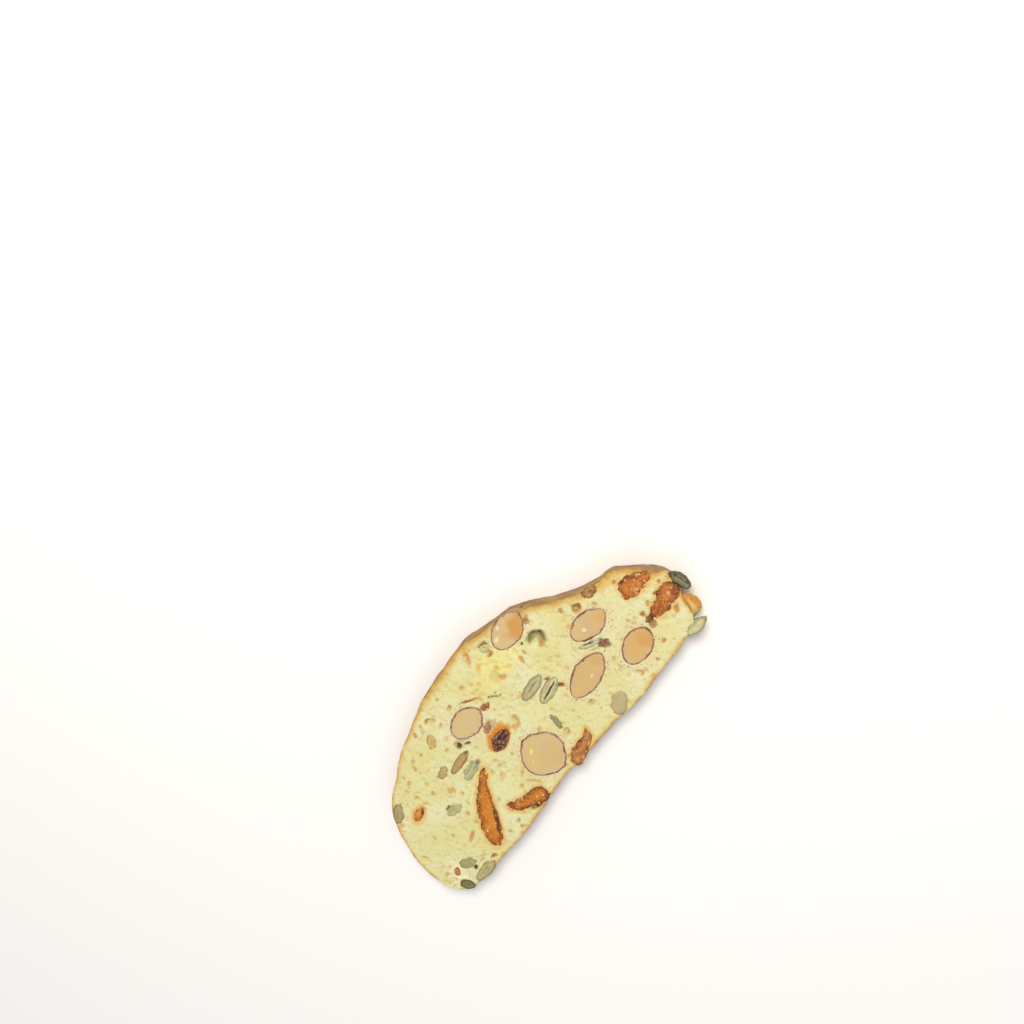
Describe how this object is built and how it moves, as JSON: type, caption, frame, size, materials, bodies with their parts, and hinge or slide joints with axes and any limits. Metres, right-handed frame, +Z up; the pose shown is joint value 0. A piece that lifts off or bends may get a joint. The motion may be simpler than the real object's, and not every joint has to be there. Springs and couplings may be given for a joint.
{
  "type": "biscotti slice",
  "caption": "Thin domed slice of twice-baked biscotti lying on its cut face, with almonds, pumpkin seeds, dried apricot strips and raisins set in a pale crumb.",
  "frame": {"origin": "under the middle of the slice's box, on the surface that it lies on", "axes": "+X along the slice from its broken end to its knobbly end, +Y from the flat base to the dome, +Z up through the shown cut face"},
  "size_m": [0.122, 0.049, 0.0068],
  "materials": {
    "crumb": "dry, porous pale yellow baked crumb with a golden tan crust round its edge",
    "almond": "knife-cut almond kernel, smooth and slightly waxy cream, ringed by a thin red-brown skin",
    "apricot": "chewy translucent orange dried apricot, darker along its edges, with pale sugar specks",
    "raisin": "wrinkled dark red-brown raisin, slightly glossy",
    "pumpkin_seed": "grey-green pumpkin seed kernel, satin, with a darker rim and a lengthwise crease",
    "skin_flake": "dry red-brown flake of almond skin"
  },
  "bodies": {
    "root": {"crumb": "crumb", "almond_1": "almond", "almond_2": "almond", "almond_3": "almond", "almond_4": "almond", "almond_5": "almond", "almond_6": "almond", "apricot_1": "apricot", "apricot_2": "apricot", "apricot_3": "apricot", "apricot_4": "apricot", "apricot_5": "apricot", "apricot_6": "apricot", "raisin_1": "raisin", "raisin_2": "raisin", "pumpkin_seed_1": "pumpkin_seed", "pumpkin_seed_2": "pumpkin_seed", "pumpkin_seed_3": "pumpkin_seed", "pumpkin_seed_4": "pumpkin_seed", "pumpkin_seed_5": "pumpkin_seed", "pumpkin_seed_6": "pumpkin_seed", "pumpkin_seed_7": "pumpkin_seed", "pumpkin_seed_8": "pumpkin_seed", "pumpkin_seed_9": "pumpkin_seed", "pumpkin_seed_10": "pumpkin_seed", "pumpkin_seed_11": "pumpkin_seed", "pumpkin_seed_12": "pumpkin_seed", "pumpkin_seed_13": "pumpkin_seed", "pumpkin_seed_14": "pumpkin_seed", "pumpkin_seed_15": "pumpkin_seed", "pumpkin_seed_16": "pumpkin_seed", "pumpkin_seed_17": "pumpkin_seed", "pumpkin_seed_18": "pumpkin_seed", "pumpkin_seed_19": "pumpkin_seed", "pumpkin_seed_20": "pumpkin_seed", "pumpkin_seed_21": "pumpkin_seed", "pumpkin_seed_22": "pumpkin_seed", "skin_flake_1": "skin_flake", "skin_flake_2": "skin_flake", "skin_flake_3": "skin_flake", "skin_flake_4": "skin_flake", "skin_flake_5": "skin_flake", "skin_flake_6": "skin_flake", "skin_flake_7": "skin_flake"}
  },
  "joints": []
}
